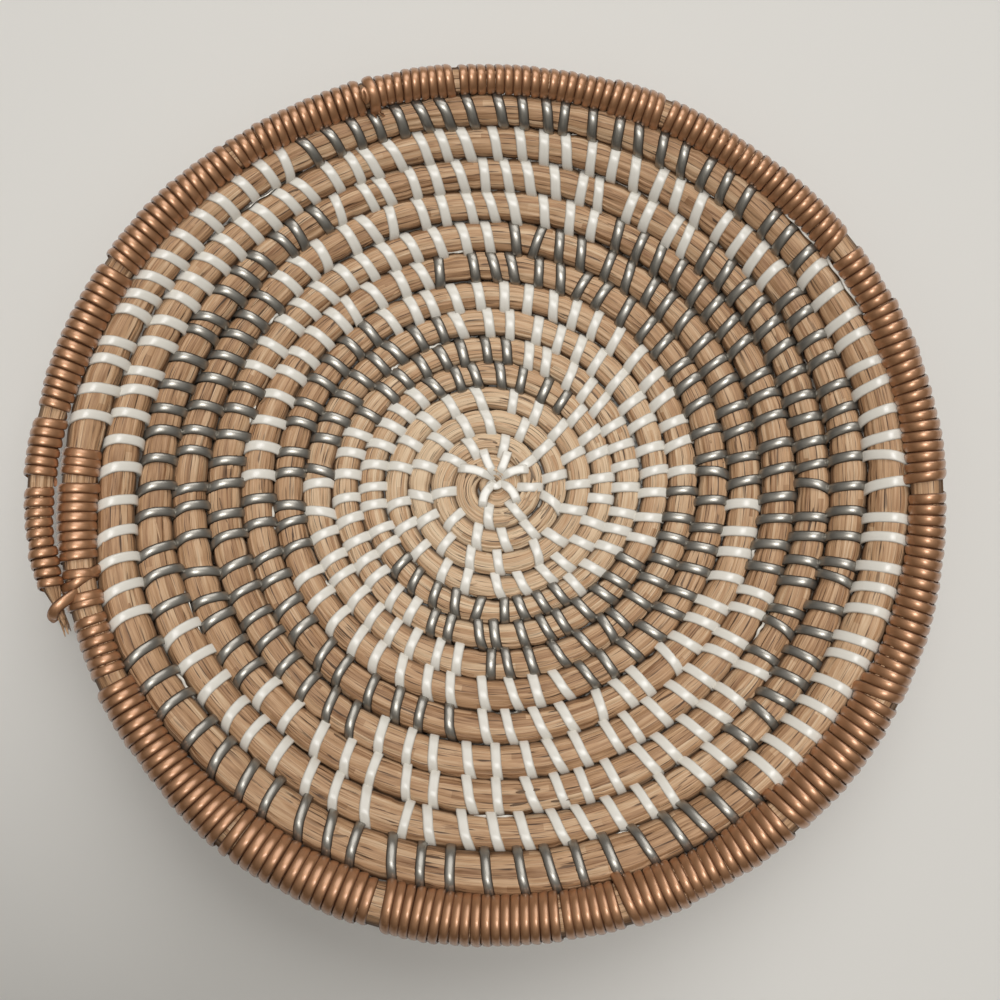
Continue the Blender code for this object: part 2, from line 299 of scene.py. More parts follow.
def cord_profile(roundness, edge, tilt):
    """An outline across a flat cord, for one width and one thickness: from edge to edge over
    its crest, then back underneath. The edges are as high as the given share, and a tilted
    cord has its leading edge higher than the other."""
    angles = np.linspace(0.0, math.pi, 9)
    across = -0.5 * np.sign(np.cos(angles)) * np.abs(np.cos(angles)) ** roundness
    above = edge + (1.0 - edge) * np.sin(angles) ** roundness
    across = np.concatenate((across, [0.40, -0.40]))
    above = np.concatenate((above, [0.0, 0.0])) - tilt * across
    return across, above


def sweep_cord(
    parts, points, normals, width, thickness, roundness, edge=0.30, tilt=0.0, texture_at=(0.0, 0.0)
):
    """Adds a flat cord along points, lying with its back to the normals."""
    run = unit(np.gradient(points, axis=0))
    side = unit(np.cross(run, normals))
    normals = np.cross(side, run)
    across, above = cord_profile(roundness, edge, tilt)
    width = np.broadcast_to(width, len(points))
    thickness = np.broadcast_to(thickness, len(points))
    rings = (
        points[:, None, :]
        + side[:, None, :] * (across[None, :] * width[:, None])[..., None]
        + normals[:, None, :] * (above[None, :] * thickness[:, None])[..., None]
    )
    steps = np.linalg.norm(np.diff(points, axis=0), axis=1)
    lengths = np.concatenate(([0.0], np.cumsum(steps))) + texture_at[0]
    uvs = np.stack(np.broadcast_arrays(lengths[:, None], 0.5 + across[None, :] + texture_at[1]), axis=-1)
    parts.add_sweep(rings, uvs)


def loose_cord(coil, parts, places, width, thickness, roundness, edge=0.30):
    """Adds a cord through a few places, given as turns and as distances outward and upward of
    the bundle's middle line."""
    knots = np.array(places)
    knots = np.concatenate((2.0 * knots[:1] - knots[1:2], knots, 2.0 * knots[-1:] - knots[-2:-1]))
    course = []
    for a, b, c, d in zip(knots, knots[1:], knots[2:], knots[3:]):
        t = np.linspace(0.0, 1.0, 9)[:-1, None]
        course.append(
            0.5 * (2.0 * b + (c - a) * t + (2.0 * a - 5.0 * b + 4.0 * c - d) * t**2
                   + (3.0 * b - a - 3.0 * c + d) * t**3)
        )
    course = np.concatenate(course + [knots[-2:-1]])
    turns, across, above = course.T
    points = coil.place(turns, across, above)
    normals = coil.read(coil.upward, turns) * 1.0 + coil.read(coil.outward, turns) * (
        across / (np.abs(across) + np.abs(above) + 2.0 * MM)
    )[:, None]
    sweep_cord(parts, points, unit(normals), width, thickness, roundness, edge)


def srgb(code):
    """A linear colour from an sRGB hex code."""
    values = [int(code[index:index + 2], 16) / 255.0 for index in (1, 3, 5)]
    return tuple(v / 12.92 if v <= 0.04045 else ((v + 0.055) / 1.055) ** 2.4 for v in values)


class GrassSettings(bpy.types.PropertyGroup):
    """Sizes and colours of the grass bundle."""

    blades: IntProperty(
        name="Blades around", description="Blades side by side round the bundle", default=19, min=8
    )
    ring_step: FloatProperty(
        name="Ring step", description="Length between the rings of the bundle's surface",
        default=1.4 * MM, unit="LENGTH",
    )
    split_depth: FloatProperty(
        name="Split depth", description="Depth of the splits between blades",
        default=0.50 * MM, unit="LENGTH",
    )
    squeeze: FloatProperty(
        name="Squeeze", description="How far a stitch draws the grass in",
        default=0.48 * MM, unit="LENGTH",
    )
    light: FloatVectorProperty(
        name="Light grass", description="Colour of the palest blades", subtype="COLOR",
        default=srgb("#dfc3a0"), min=0.0, max=1.0,
    )
    middle: FloatVectorProperty(
        name="Tan grass", description="Colour of most blades", subtype="COLOR",
        default=srgb("#be9670"), min=0.0, max=1.0,
    )
    deep: FloatVectorProperty(
        name="Brown grass", description="Colour of the darker blades", subtype="COLOR",
        default=srgb("#7a5230"), min=0.0, max=1.0,
    )
    split: FloatVectorProperty(
        name="Split", description="Colour down between the blades", subtype="COLOR",
        default=srgb("#2c1608"), min=0.0, max=1.0,
    )


class StripSettings(bpy.types.PropertyGroup):
    """Sizes and colours of the sewing strips."""

    width: FloatProperty(
        name="Width", description="Width of the flat sewing cord", default=3.05 * MM, unit="LENGTH"
    )
    thickness: FloatProperty(
        name="Thickness", description="Thickness of the cord", default=0.85 * MM, unit="LENGTH"
    )
    pierce: FloatProperty(
        name="Pierce", description="How far a stitch bites into the row inside its own",
        default=1.0 * MM, unit="LENGTH",
    )
    white: FloatVectorProperty(
        name="White", description="Colour of the white cord", subtype="COLOR",
        default=srgb("#e2ddd2"), min=0.0, max=1.0,
    )
    grey: FloatVectorProperty(
        name="Pewter", description="Colour of the grey metallic cord", subtype="COLOR",
        default=srgb("#99948a"), min=0.0, max=1.0,
    )


class RimSettings(bpy.types.PropertyGroup):
    """Sizes and colours of the rim's wrapping."""

    width_share: FloatProperty(
        name="Width", description="The loops' width, as a share of their usual one", default=1.0
    )
    thickness: FloatProperty(
        name="Thickness", description="Thickness of the cord", default=1.1 * MM, unit="LENGTH"
    )
    copper: FloatVectorProperty(
        name="Copper", description="Colour of the copper cord", subtype="COLOR",
        default=srgb("#bb885f"), min=0.0, max=1.0,
    )


class StageSettings(bpy.types.PropertyGroup):
    """The floor and the studio light."""

    floor: FloatVectorProperty(
        name="Floor", description="Colour of the pale floor", subtype="COLOR",
        default=srgb("#dddad4"), min=0.0, max=1.0,
    )
    window_power: FloatProperty(
        name="Window power", description="Power of the broad soft light from beyond the basket",
        default=21.7, unit="POWER",
    )
    ceiling_power: FloatProperty(
        name="Ceiling power", description="Power of the soft light overhead", default=6.0, unit="POWER"
    )
    lamp_power: FloatProperty(
        name="Lamp power", description="Power of the small lamp overhead", default=0.22, unit="POWER"
    )
    sky_strength: FloatProperty(
        name="Sky strength", description="Strength of the light from all round", default=0.45
    )


def new_material(name):
    """A material with its Principled surface, and its node tree."""
    material = bpy.data.materials.new(name)
    material.use_nodes = True
    tree = material.node_tree
    return material, tree, tree.nodes["Principled BSDF"]


def add_node(tree, kind, links=(), **settings):
    """Adds a node. Settings name its properties, or its inputs by name or number after an
    underscore; links are (input, output socket) pairs."""
    node = tree.nodes.new(kind)
    for key, value in settings.items():
        if hasattr(node, key):
            setattr(node, key, value)
        else:
            socket = key.lstrip("_").replace("_", " ")
            node.inputs[int(socket) if socket.isdigit() else socket].default_value = value
    for socket, source in links:
        tree.links.new(source, node.inputs[socket])
    return node


def colour_ramp(tree, source, stops):
    """A colour ramp with (position, colour) stops."""
    ramp = add_node(tree, "ShaderNodeValToRGB", [("Fac", source)])
    elements = ramp.color_ramp.elements
    for index, (position, colour) in enumerate(stops):
        element = elements[index] if index < 2 else elements.new(position)
        element.position = position
        element.color = (*colour[:3], 1.0)
    return ramp.outputs["Color"]


def grass_material(settings, pale_until, brown_from):
    """Dried grass blades: a matte skin with long fibres, some blades paler or browner than
    others, and dark splits where blades part. The eye sees tan streaks along the coil, paler in
    the first turns."""
    material, tree, surface = new_material("dried_grass_blades")
    uv = add_node(tree, "ShaderNodeUVMap").outputs["UV"]
    split = add_node(tree, "ShaderNodeSeparateXYZ", [(0, uv)])
    along, around = split.outputs["X"], split.outputs["Y"]

    blade = add_node(tree, "ShaderNodeMath", [(0, around)], operation="FLOOR").outputs[0]
    inside = add_node(tree, "ShaderNodeMath", [(0, around)], operation="FRACT").outputs[0]
    offset = add_node(tree, "ShaderNodeMath", [(0, blade)], operation="MULTIPLY", _1=0.37).outputs[0]
    piece = add_node(
        tree, "ShaderNodeMath", [(0, along), (2, offset)], operation="MULTIPLY_ADD", _1=1 / 0.047
    ).outputs[0]
    piece = add_node(tree, "ShaderNodeMath", [(0, piece)], operation="FLOOR").outputs[0]
    cell = add_node(tree, "ShaderNodeCombineXYZ", [(0, piece), (1, blade)]).outputs[0]
    tone = add_node(tree, "ShaderNodeTexWhiteNoise", [("Vector", cell)], noise_dimensions="2D")

    # Fibres are about 0.3 mm apart across a blade and run some 16 mm along it
    fibre_place = add_node(
        tree, "ShaderNodeCombineXYZ",
        [
            (0, add_node(tree, "ShaderNodeMath", [(0, along)], operation="MULTIPLY", _1=1 / 0.016).outputs[0]),
            (1, add_node(tree, "ShaderNodeMath", [(0, around)], operation="MULTIPLY", _1=5.5).outputs[0]),
        ],
    ).outputs[0]
    fibres = add_node(tree, "ShaderNodeTexNoise", [("Vector", fibre_place)], Scale=1.0, Detail=3.0, Roughness=0.6)

    # The grass is palest up to one length along the coil, and browner past another
    age = add_node(
        tree, "ShaderNodeMapRange", [("Value", along)], _1=pale_until, _2=brown_from, _3=0.16, _4=-0.10
    ).outputs[0]
    mixed = add_node(
        tree, "ShaderNodeMath", [(0, tone.outputs["Value"]), (2, fibres.outputs["Fac"])],
        operation="MULTIPLY_ADD", _1=0.30,
    ).outputs[0]
    mixed = add_node(tree, "ShaderNodeMath", [(0, mixed), (1, age)], operation="ADD").outputs[0]
    base = colour_ramp(tree, mixed, (
        (0.22, settings.deep), (0.58, settings.middle), (0.92, settings.light),
    ))

    # Thin dark slits between the fibres, some millimetres long, in patches
    slit_place = add_node(
        tree, "ShaderNodeCombineXYZ",
        [
            (0, add_node(tree, "ShaderNodeMath", [(0, along)], operation="MULTIPLY", _1=1 / 0.012).outputs[0]),
            (1, add_node(tree, "ShaderNodeMath", [(0, around)], operation="MULTIPLY", _1=5.6).outputs[0]),
        ],
    ).outputs[0]
    slits = add_node(
        tree, "ShaderNodeTexNoise", [("Vector", slit_place)], Scale=1.0, Detail=1.0, Distortion=0.25
    )
    patch_place = add_node(
        tree, "ShaderNodeCombineXYZ",
        [
            (0, add_node(tree, "ShaderNodeMath", [(0, along)], operation="MULTIPLY", _1=1 / 0.014).outputs[0]),
            (1, add_node(tree, "ShaderNodeMath", [(0, around)], operation="MULTIPLY", _1=0.30).outputs[0]),
        ],
    ).outputs[0]
    patches = add_node(tree, "ShaderNodeTexNoise", [("Vector", patch_place)], Scale=1.0, Detail=1.0)
    amount = add_node(
        tree, "ShaderNodeMapRange", [("Value", patches.outputs["Fac"])], _1=0.36, _2=0.62, _3=0.0, _4=0.82
    ).outputs[0]
    slit = add_node(
        tree, "ShaderNodeMapRange", [("Value", slits.outputs["Fac"])], _1=0.615, _2=0.650, _3=0.0, _4=1.0
    ).outputs[0]
    slit = add_node(tree, "ShaderNodeMath", [(0, slit), (1, amount)], operation="MULTIPLY").outputs[0]

    # A split lies at each side of a blade, and opens and closes every centimetre or so
    edge = add_node(tree, "ShaderNodeMath", [(0, inside)], operation="SUBTRACT", _1=0.5).outputs[0]
    edge = add_node(tree, "ShaderNodeMath", [(0, edge)], operation="ABSOLUTE").outputs[0]
    split_place = add_node(
        tree, "ShaderNodeCombineXYZ",
        [
            (0, add_node(tree, "ShaderNodeMath", [(0, along)], operation="MULTIPLY", _1=1 / 0.009).outputs[0]),
            (1, add_node(tree, "ShaderNodeMath", [(0, around)], operation="MULTIPLY", _1=0.9).outputs[0]),
        ],
    ).outputs[0]
    opening = add_node(tree, "ShaderNodeTexNoise", [("Vector", split_place)], Scale=1.0, Detail=1.0)
    width = add_node(
        tree, "ShaderNodeMapRange", [("Value", opening.outputs["Fac"])],
        _1=0.42, _2=0.74, _3=0.510, _4=0.42,
    ).outputs[0]
    past = add_node(tree, "ShaderNodeMath", [(0, edge), (1, width)], operation="SUBTRACT").outputs[0]
    dark = add_node(
        tree, "ShaderNodeMapRange", [("Value", past)], _1=-0.01, _2=0.04, _3=0.0, _4=0.85
    ).outputs[0]
    dark = add_node(tree, "ShaderNodeMath", [(0, dark), (1, slit)], operation="MAXIMUM").outputs[0]

    # Painted shade: the bundle's two sides, down in the grooves between the rows, are darkened towards the split
    # colour, where shade falls between the rows
    sideways = add_node(
        tree, "ShaderNodeMath", [(0, around)], operation="MULTIPLY", _1=math.tau / settings.blades
    ).outputs[0]
    sideways = add_node(tree, "ShaderNodeMath", [(0, sideways)], operation="COSINE").outputs[0]
    sideways = add_node(tree, "ShaderNodeMath", [(0, sideways)], operation="ABSOLUTE").outputs[0]
    painted_groove_shade = add_node(
        tree, "ShaderNodeMapRange", [("Value", sideways)], _1=0.78, _2=0.99, _3=0.0, _4=0.75
    ).outputs[0]
    dark = add_node(tree, "ShaderNodeMath", [(0, dark), (1, painted_groove_shade)], operation="MAXIMUM").outputs[0]
    # The split colour paints both the dark splits between blades and the painted shade in the grooves between
    # rows
    coloured = add_node(
        tree, "ShaderNodeMix", [("Factor", dark), (6, base)], data_type="RGBA", _7=(*settings.split, 1.0)
    ).outputs[2]
    tree.links.new(coloured, surface.inputs["Base Color"])
    bump = add_node(
        tree, "ShaderNodeBump", [("Height", fibres.outputs["Fac"])], Strength=0.35, Distance=0.2 * MM
    )
    tree.links.new(bump.outputs["Normal"], surface.inputs["Normal"])
    surface.inputs["Roughness"].default_value = 0.62
    surface.inputs["IOR"].default_value = 1.45
    return material


def cord_material(name, colour, shade, metallic, roughness, streak, coat=0.0, edge_shade_share=0.55):
    """Flat extruded plastic cord: even colour with faint lengthwise draw lines, and edges darkened
    towards the shade colour, painted shade with a little dirt, which show as thin darker lines along each stitch."""
    material, tree, surface = new_material(name)
    uv = add_node(tree, "ShaderNodeUVMap").outputs["UV"]
    split = add_node(tree, "ShaderNodeSeparateXYZ", [(0, uv)])
    along, across = split.outputs["X"], split.outputs["Y"]

    # Draw lines a third of a millimetre apart, drawn coarser than they are so that they show
    line_place = add_node(
        tree, "ShaderNodeCombineXYZ",
        [
            (0, add_node(tree, "ShaderNodeMath", [(0, along)], operation="MULTIPLY", _1=1 / 0.025).outputs[0]),
            (1, add_node(tree, "ShaderNodeMath", [(0, across)], operation="MULTIPLY", _1=7.0).outputs[0]),
        ],
    ).outputs[0]
    lines = add_node(tree, "ShaderNodeTexNoise", [("Vector", line_place)], Scale=1.0, Detail=2.0)
    edge = add_node(tree, "ShaderNodeMath", [(0, across)], operation="SUBTRACT", _1=0.5).outputs[0]
    edge = add_node(tree, "ShaderNodeMath", [(0, edge)], operation="ABSOLUTE").outputs[0]
    # Painted shade: the cord darkens towards both edges, where it turns down into the grass, with a little dirt
    # as well
    painted_edge_shade = add_node(
        tree, "ShaderNodeMapRange", [("Value", edge)], _1=0.34, _2=0.50, _3=0.0, _4=edge_shade_share
    ).outputs[0]
    lines_and_edge_shade = add_node(
        tree, "ShaderNodeMath", [(0, lines.outputs["Fac"]), (2, painted_edge_shade)], operation="MULTIPLY_ADD", _1=streak
    ).outputs[0]
    base = add_node(
        tree, "ShaderNodeMix", [("Factor", lines_and_edge_shade)], data_type="RGBA",
        _6=(*colour, 1.0), _7=(*shade, 1.0),
    ).outputs[2]
    tree.links.new(base, surface.inputs["Base Color"])
    bump = add_node(
        tree, "ShaderNodeBump", [("Height", lines.outputs["Fac"])], Strength=0.12, Distance=0.1 * MM
    )
    tree.links.new(bump.outputs["Normal"], surface.inputs["Normal"])
    surface.inputs["Metallic"].default_value = metallic
    surface.inputs["Coat Weight"].default_value = coat
    surface.inputs["Coat Roughness"].default_value = 0.25
    surface.inputs["Roughness"].default_value = roughness
    return material


# How far apart the stitches are, and how much farther at the basket's -Y side, as a share
STITCH_SPACING = (
    (0.2, 9.0 * MM), (2.9, 9.2 * MM), (3.3, 7.8 * MM), (3.64, 6.6 * MM), (4.5, 6.6 * MM),
    (5.5, 7.3 * MM), (8.0, 7.5 * MM), (13.0, 7.4 * MM),
)
WIDER_SHARES = ((5.0, 0.0), (8.0, 0.16), (12.0, 0.34))
WIDEST_AT = 0.17
# How far along a stitch moves while it crosses its row, as a share of the row's width, and
# how much more and less of it there is twice round the basket
LEAN_SHARE = 0.205
LEAN_SWING = 0.055
# How far a stitch bows back along the coil on its way over the row, all round the basket and
# more at its -X side than at its +X side, and what share of that the first turns have
BOW = 0.25 * MM
BOW_SWING = 1.7 * MM
BOW_SHARES = ((0.0, 0.25), (4.0, 0.45), (8.0, 0.9), (13.0, 1.0))
# The share of the stitches that come up close beside the next one
PAIRED_SHARE = 0.07
POINTS_PER_STITCH = 24


def spacing_at(turns):
    """The usual distance between the stitches at any turns."""
    near = np.clip(np.cos(math.tau * (turns - WIDEST_AT)), 0.0, 1.0)
    wider = np.interp(turns, *rows_of(WIDER_SHARES)) * near
    return np.interp(turns, *rows_of(STITCH_SPACING)) * (1.0 + wider)


def stitch_lengths(coil, first_turn, last_turn, random):
    """Where the stitches of one strip start, as lengths along the coil."""
    start, end = coil.length_at(first_turn), coil.length_at(last_turn)
    if last_turn == STRIP_ENDS[-1]:
        end += 0.8 * spacing_at(last_turn)
    places = [start]
    while places[-1] < end:
        places.append(places[-1] + spacing_at(coil.turn_at(places[-1])))
    if places[-1] - end > end - places[-2]:
        places.pop()
    places = np.array(places)
    places = start + (places - start) * (end - start) / (places[-1] - start)
    gaps = np.diff(places)
    return places[:-1] + random.uniform(-0.13, 0.13, len(gaps)) * gaps


def all_stitches(coil):
    """Every strip's name, colour and stitch places."""
    random = np.random.default_rng(7)
    strips = []
    first_turn = SEWING_START
    for index, last_turn in enumerate(STRIP_ENDS):
        colour = ("white", "grey")[index % 2]
        name = f"{colour}_strip_{index // 2 + 1:02d}"
        strips.append((name, colour, stitch_lengths(coil, first_turn, last_turn, random)))
        first_turn = last_turn
    return strips


def lean_of(coil, lengths):
    """How far along the coil a stitch moves over the top of its row."""
    turns = coil.turn_at(lengths)
    side, top = coil.half_axes(turns)
    return 2.0 * side * (LEAN_SHARE - LEAN_SWING * np.cos(2.0 * math.tau * turns))


def bow_of(coil, lengths):
    """How far along the coil a stitch's crest lies off the straight way between its ends."""
    turns = coil.turn_at(lengths)
    shares = np.interp(turns, *rows_of(BOW_SHARES))
    return -shares * (BOW + BOW_SWING * np.cos(math.tau * turns))


def make_grass(coil, settings, stitches):
    """The bundle's skin: blades side by side, drawn in under each stitch."""
    random = np.random.default_rng(11)
    total = coil.lengths[-1] - GRASS_END_SHORT
    lengths = np.linspace(0.0, total, int(total / settings.ring_step))
    turns = coil.turn_at(lengths)
    side, top = coil.half_axes(turns)
    blades = settings.blades

    columns = []
    for blade in range(blades):
        shift = wander(random, lengths, 31.0 * MM, 0.30)
        lift = wander(random, lengths, 19.0 * MM, 0.20 * MM)
        depth = settings.split_depth * np.clip(0.35 + 0.75 * wander(random, lengths, 14.0 * MM, 1.0), 0.0, 1.0)
        columns.append((shift, lift, depth))

    # Each blade has a split at its start, and two points along its flat
    shares = (0.0, 0.22, 0.78)
    angles, drops, around = [], [], []
    for blade in range(blades):
        shift, lift, depth = columns[blade]
        following = columns[(blade + 1) % blades][0]
        for share in shares:
            angles.append(math.tau * (blade + share + shift * (1.0 - share) + following * share) / blades)
            drops.append(depth if share == 0.0 else -lift)
            around.append(blade + share)
    angle = np.stack(angles, axis=1)
    across, above, out_across, out_above = section_point(angle, side[:, None], top[:, None])
    rougher = 1.6 * np.clip(1.6 - turns, 0.0, 1.0)[:, None] * np.clip(out_above, 0.0, 1.0)
    drop = np.stack(drops, axis=1) * (1.0 + rougher)
    places = np.sort(np.concatenate(stitches))
    lean = lean_of(coil, lengths)[:, None]
    bow = bow_of(coil, lengths)[:, None] * np.sqrt(np.clip(1.0 - (across / side[:, None]) ** 2, 0.0, 1.0))
    shift = np.where(above > 0.0, lean * (across / side[:, None] + 1.0) * 0.5 + bow, lean)
    at = lengths[:, None] - shift
    index = np.clip(np.searchsorted(places, at), 1, len(places) - 1)
    near = np.minimum(np.abs(at - places[index - 1]), np.abs(at - places[index]))
    squeeze = settings.squeeze * np.exp(-((near / (1.8 * MM)) ** 4))
    squeeze = np.where(at > places[-1] + 3.0 * MM, 0.0, squeeze)

    taper = np.clip((total - lengths) / (9.0 * MM), 0.45, 1.0)[:, None]
    drop = drop + squeeze
    points = coil.place(
        np.broadcast_to(turns[:, None], across.shape),
        (across - out_across * drop) * taper,
        (above - out_above * drop) * taper,
    )
    parts = MeshParts()
    wide = np.array(around + [float(blades)])
    uvs = np.stack(np.broadcast_arrays(lengths[:, None], wide[None, :]), axis=-1)
    parts.add_sweep(points[:, ::-1], uvs[:, ::-1])
    add_start_fold(coil, parts)
    add_stray_blades(coil, parts, random, total)
    return parts


# The folded start of the bundle fills the eye: its direction in turns, its distance from the
# middle, and its half thickness
START_FOLD = (
    (-0.62, 4.2 * MM, 1.7 * MM), (-0.80, 3.6 * MM, 1.7 * MM), (-1.00, 3.3 * MM, 1.8 * MM),
    (-1.20, 2.6 * MM, 1.7 * MM), (-1.40, 1.8 * MM, 1.5 * MM), (-1.60, 1.2 * MM, 1.2 * MM),
)


def add_start_fold(coil, parts):
    """Adds the thin end that the bundle is started with, folded into the middle."""
    places = np.linspace(0.0, len(START_FOLD) - 1.0, 26)
    turns, reach, half = (np.interp(places, range(len(START_FOLD)), column) for column in zip(*START_FOLD))
    angle = math.pi + math.tau * turns
    middle = np.array(SPIRAL_MIDDLE) + (EYE_PLACE[0] * 0.5, EYE_PLACE[1] * 0.5, 0.0)
    course = np.stack((reach * np.cos(angle), reach * np.sin(angle), 2.7 * MM + 0.2 * half), axis=1) + middle
    run = unit(np.gradient(course, axis=0))
    outward = unit(np.cross(run, np.broadcast_to((0.0, 0.0, 1.0), run.shape)))
    round_it = np.linspace(0.0, math.tau, 24, endpoint=False)
    ripple = 1.0 + 0.07 * np.cos(8.0 * round_it)
    rings = (
        course[:, None, :]
        + outward[:, None, :] * (np.cos(round_it) * ripple * half[:, None])[..., None]
        + np.array((0.0, 0.0, 1.0)) * (np.sin(round_it) * ripple * half[:, None])[..., None]
    )
    wide = np.linspace(0.0, 8.0, 25)
    uvs = np.stack(np.broadcast_arrays((places * 1.6 * MM)[:, None], wide[None, :]), axis=-1)
    parts.add_sweep(rings, uvs)


STRAY_BLADES = 124


def add_stray_blades(coil, parts, random, total):
    """Adds short loose blades that lie on the rows, and the frayed blades of the free end."""
    for index in range(STRAY_BLADES):
        free_end = index < 26
        length = random.uniform(3.0, 8.0) * MM
        in_eye = index >= STRAY_BLADES - 34
        turn = random.uniform(-0.45, 1.5) if in_eye else random.uniform(0.05, 1.0) ** 0.6 * 12.9
        start = total - random.uniform(2.0, 7.0) * MM if free_end else coil.length_at(turn)
        lengths = start + length * np.linspace(0.0, 1.0, 6)
        turns = coil.turn_at(np.minimum(lengths, coil.lengths[-1]))
        side, top = coil.half_axes(turns)
        begin = random.uniform(0.0, math.tau) if free_end else random.uniform(0.18, 0.82) * math.pi
        drift = random.uniform(-0.30, 0.30) * (1.0 + 1.2 * in_eye)
        across, above, out_across, out_above = section_point(
            begin + drift * np.linspace(0.0, 1.0, 6), side, top
        )
        rise = random.uniform(-0.35, 0.12) * MM * np.linspace(0.0, 1.0, 6) - 0.05 * MM
        size = 1.0
        if free_end:
            size = 0.52 + random.uniform(-0.25, 0.20) * np.linspace(0.0, 1.0, 6)
        points = coil.place(turns, (across + out_across * rise) * size, (above + out_above * rise) * size)
        normals = (
            coil.read(coil.outward, turns) * out_across[:, None]
            + coil.read(coil.upward, turns) * out_above[:, None]
        )
        width = random.uniform(0.5, 1.0) * MM * np.array((0.5, 1.0, 1.0, 1.0, 0.8, 0.3))
        blade = float(random.integers(19))
        sweep_cord(parts, points, normals, width, 0.22 * MM, 0.9, texture_at=(lengths[0], blade))


def make_strip(coil, settings, places, roundness, random):
    """One sewing strip, wound over the top of its row and back beneath it."""
    count = len(places)
    share = np.arange(POINTS_PER_STITCH) / POINTS_PER_STITCH
    top_share, under_share = np.clip(share / 0.5, 0.0, 1.0), np.clip((share - 0.5) / 0.5, 0.0, 1.0)
    spacing = np.append(np.diff(places), places[-1] - places[-2])
    moved = np.where(random.uniform(0.0, 1.0, count) < PAIRED_SHARE, 0.42 * spacing, 0.0)
    lean = lean_of(coil, places) * random.uniform(0.40, 1.60, count) - moved
    places = places + moved
    spacing = np.append(np.diff(places), spacing[-1])
    bow = bow_of(coil, places) * random.uniform(0.6, 1.4, count)
    bite = settings.pierce * random.uniform(0.55, 1.60, count)
    along = (
        places[:, None]
        + lean[:, None] * 0.5 * (1.0 - np.cos(math.pi * top_share))
        + bow[:, None] * np.sin(math.pi * top_share)
        + (spacing - lean)[:, None] * under_share
    )
    bites = bite[:, None] + (np.append(bite[1:], bite[-1]) - bite)[:, None] * under_share
    angles = np.broadcast_to(math.pi - math.tau * share, along.shape).ravel()
    turns = coil.turn_at(along.ravel())
    side, top = coil.half_axes(turns)
    across, above, out_across, out_above = section_point(angles, side, top, bites.ravel())
    sink = 0.42 * MM
    points = coil.place(turns, across - out_across * sink, above - out_above * sink)
    normals = (
        coil.read(coil.outward, turns) * out_across[:, None]
        + coil.read(coil.upward, turns) * out_above[:, None]
    )
    parts = MeshParts()
    width = settings.width * np.repeat(random.uniform(0.95, 1.05, count), POINTS_PER_STITCH)
    thickness = settings.thickness * (0.85 + 0.35 * (roundness > 0.7))
    sweep_cord(parts, points, normals, width, thickness, roundness)
    return parts


# Where grass shows between the loops of the rim's wrapping: the place in turns, the width of
# the bare grass, and how far the loop after it reaches in over the last sewn row
BARE_SPOTS = (
    (12.985, 0.4 * MM, 0.0), (12.9975, 2.0 * MM, 0.4 * MM), (13.030, 2.6 * MM, 0.0),
    (13.0387, 2.6 * MM, 0.3 * MM), (13.0480, 2.2 * MM, 0.0), (13.0745, 2.6 * MM, 0.0),
    (13.146, 0.9 * MM, 0.0), (13.1507, 0.8 * MM, 0.0), (13.207, 3.2 * MM, 0.5 * MM),
    (13.275, 0.9 * MM, 0.0), (13.297, 1.3 * MM, 2.4 * MM), (13.364, 1.4 * MM, 2.2 * MM),
    (13.419, 0.6 * MM, 2.0 * MM), (13.4992, 3.4 * MM, 1.3 * MM), (13.5945, 3.6 * MM, 0.9 * MM),
    (13.681, 1.3 * MM, 0.3 * MM), (13.764, 1.4 * MM, 0.4 * MM), (13.800, 1.8 * MM, 0.5 * MM),
    (13.856, 1.0 * MM, 0.3 * MM), (13.916, 1.8 * MM, 0.4 * MM), (13.974, 2.6 * MM, 0.3 * MM),
    (13.9985, 3.0 * MM, 0.0), (14.036, 0.4 * MM, 0.0),
)
# The cord looks wider where its loops lie clear of one another
LOOP_WIDTHS = (
    (12.99, 3.1 * MM), (13.05, 3.0 * MM), (13.13, 3.1 * MM), (13.16, 3.4 * MM), (13.20, 3.4 * MM),
    (13.24, 3.0 * MM), (13.30, 3.0 * MM), (13.50, 3.2 * MM),
    (13.60, 2.9 * MM), (13.78, 2.7 * MM), (13.95, 3.0 * MM), (14.03, 2.9 * MM),
)
# Loops out of line with the rest: the wrap they belong to, their width in millimetres, and the
# places that they pass, as turns and millimetres outward and upward of the bundle's middle line
LOOSE_LOOPS = (
    (2, 3.0, ((13.0325, -5.2, 1.0), (13.0330, -3.8, 3.9), (13.0350, 0.0, 4.9), (13.0372, 3.2, 4.0),
              (13.0378, 4.8, 0.5))),
    (13, 3.3, ((13.7983, 4.3, 0.8), (13.7980, 4.2, 2.8), (13.7973, 2.6, 4.6), (13.7970, 0.4, 5.1),
               (13.7974, -2.2, 4.6), (13.7980, -4.6, 2.6))),
    (13, 1.5, ((13.8004, -0.8, 4.4), (13.8011, 1.0, 4.9), (13.8010, 2.4, 4.8), (13.8003, 3.0, 4.6),
               (13.7996, 2.0, 5.0), (13.7997, 0.4, 5.2), (13.8004, -0.4, 5.0))),
    (13, 0.7, ((13.7992, -4.4, 3.2), (13.7985, -5.6, 3.0), (13.7982, -6.6, 2.2))),
    (13, 0.6, ((13.7968, -4.4, 3.0), (13.7960, -5.4, 3.0), (13.7950, -5.8, 2.2))),
    (16, 3.3, ((14.0385, -7.6, 2.6), (14.0398, -4.6, 3.9), (14.0415, -1.4, 4.0), (14.0435, 1.5, 2.9),
               (14.0455, 2.4, 0.6), (14.0466, 1.4, -1.6))),
)


